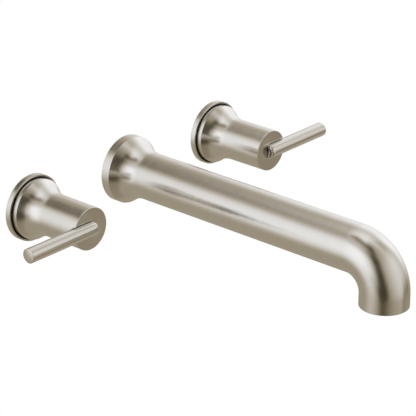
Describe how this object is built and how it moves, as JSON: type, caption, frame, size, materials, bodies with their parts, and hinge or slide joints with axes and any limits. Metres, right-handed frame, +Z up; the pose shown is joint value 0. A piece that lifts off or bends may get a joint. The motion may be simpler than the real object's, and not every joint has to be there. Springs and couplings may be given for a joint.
{
  "type": "wall mounted bath faucet",
  "caption": "Wall mounted bath faucet: a long round spout with a turned-down outlet between two barrel handles with rod levers that turn a quarter turn.",
  "frame": {"origin": "centre of the spout flange on the finished wall", "axes": "+X right along the wall through both handle axes, +Y into the wall, +Z up; the spout and the handles stand out along -Y"},
  "size_m": [0.3298, 0.2819, 0.0626],
  "materials": {
    "brushed_nickel": "brushed nickel plate on brass",
    "brass": "turned",
    "stainless": "plain stainless",
    "black_rubber": "moulded",
    "black_foam": "closed-cell foam",
    "black_plastic": "matte",
    "ceramic": "lapped ceramic",
    "white_plastic": "moulded"
  },
  "bodies": {
    "fixed": {"spout_flange": "brushed_nickel", "spout_tube": "brushed_nickel", "spout_gasket": "black_foam", "spout_socket": "brass", "spout_adapter": "brass", "adapter_oring_rear": "black_rubber", "adapter_oring_front": "black_rubber", "spout_set_screw": "stainless", "outlet_housing": "black_plastic", "outlet_oring": "black_rubber", "outlet_screen": "stainless", "flow_straightener": "white_plastic", "hot_escutcheon": "brushed_nickel", "hot_wall_gasket": "black_foam", "hot_glide_ring": "black_plastic", "hot_lock_nut": "brass", "hot_valve_sleeve": "brass", "hot_seat_seal": "black_rubber", "hot_fixed_disc": "ceramic", "hot_cartridge_body": "brass", "hot_body_oring": "black_rubber", "hot_bonnet_nut": "brass", "cold_escutcheon": "brushed_nickel", "cold_wall_gasket": "black_foam", "cold_glide_ring": "black_plastic", "cold_lock_nut": "brass", "cold_valve_sleeve": "brass", "cold_seat_seal": "black_rubber", "cold_fixed_disc": "ceramic", "cold_cartridge_body": "brass", "cold_body_oring": "black_rubber", "cold_bonnet_nut": "brass"},
    "hot_handle": {"hot_moving_disc": "ceramic", "hot_stem": "brass", "hot_stem_oring": "black_rubber", "hot_stop_ring": "stainless", "hot_retaining_clip": "stainless", "hot_hub": "brass", "hot_hub_screw": "stainless", "hot_handle_body": "brushed_nickel", "hot_set_screw": "stainless", "hot_lever": "brushed_nickel", "hot_lever_screw": "stainless"},
    "cold_handle": {"cold_moving_disc": "ceramic", "cold_stem": "brass", "cold_stem_oring": "black_rubber", "cold_stop_ring": "stainless", "cold_retaining_clip": "stainless", "cold_hub": "brass", "cold_hub_screw": "stainless", "cold_handle_body": "brushed_nickel", "cold_set_screw": "stainless", "cold_lever": "brushed_nickel", "cold_lever_screw": "stainless"}
  },
  "joints": [
    {"name": "hot_handle_turn", "type": "hinge", "parent": "fixed", "child": "hot_handle", "pos_m": [-0.1016, -0.03, 0], "axis": [0, -1, 0], "range_deg": [0, 90]},
    {"name": "cold_handle_turn", "type": "hinge", "parent": "fixed", "child": "cold_handle", "pos_m": [0.1016, -0.03, 0], "axis": [0, 1, 0], "range_deg": [0, 90]}
  ]
}
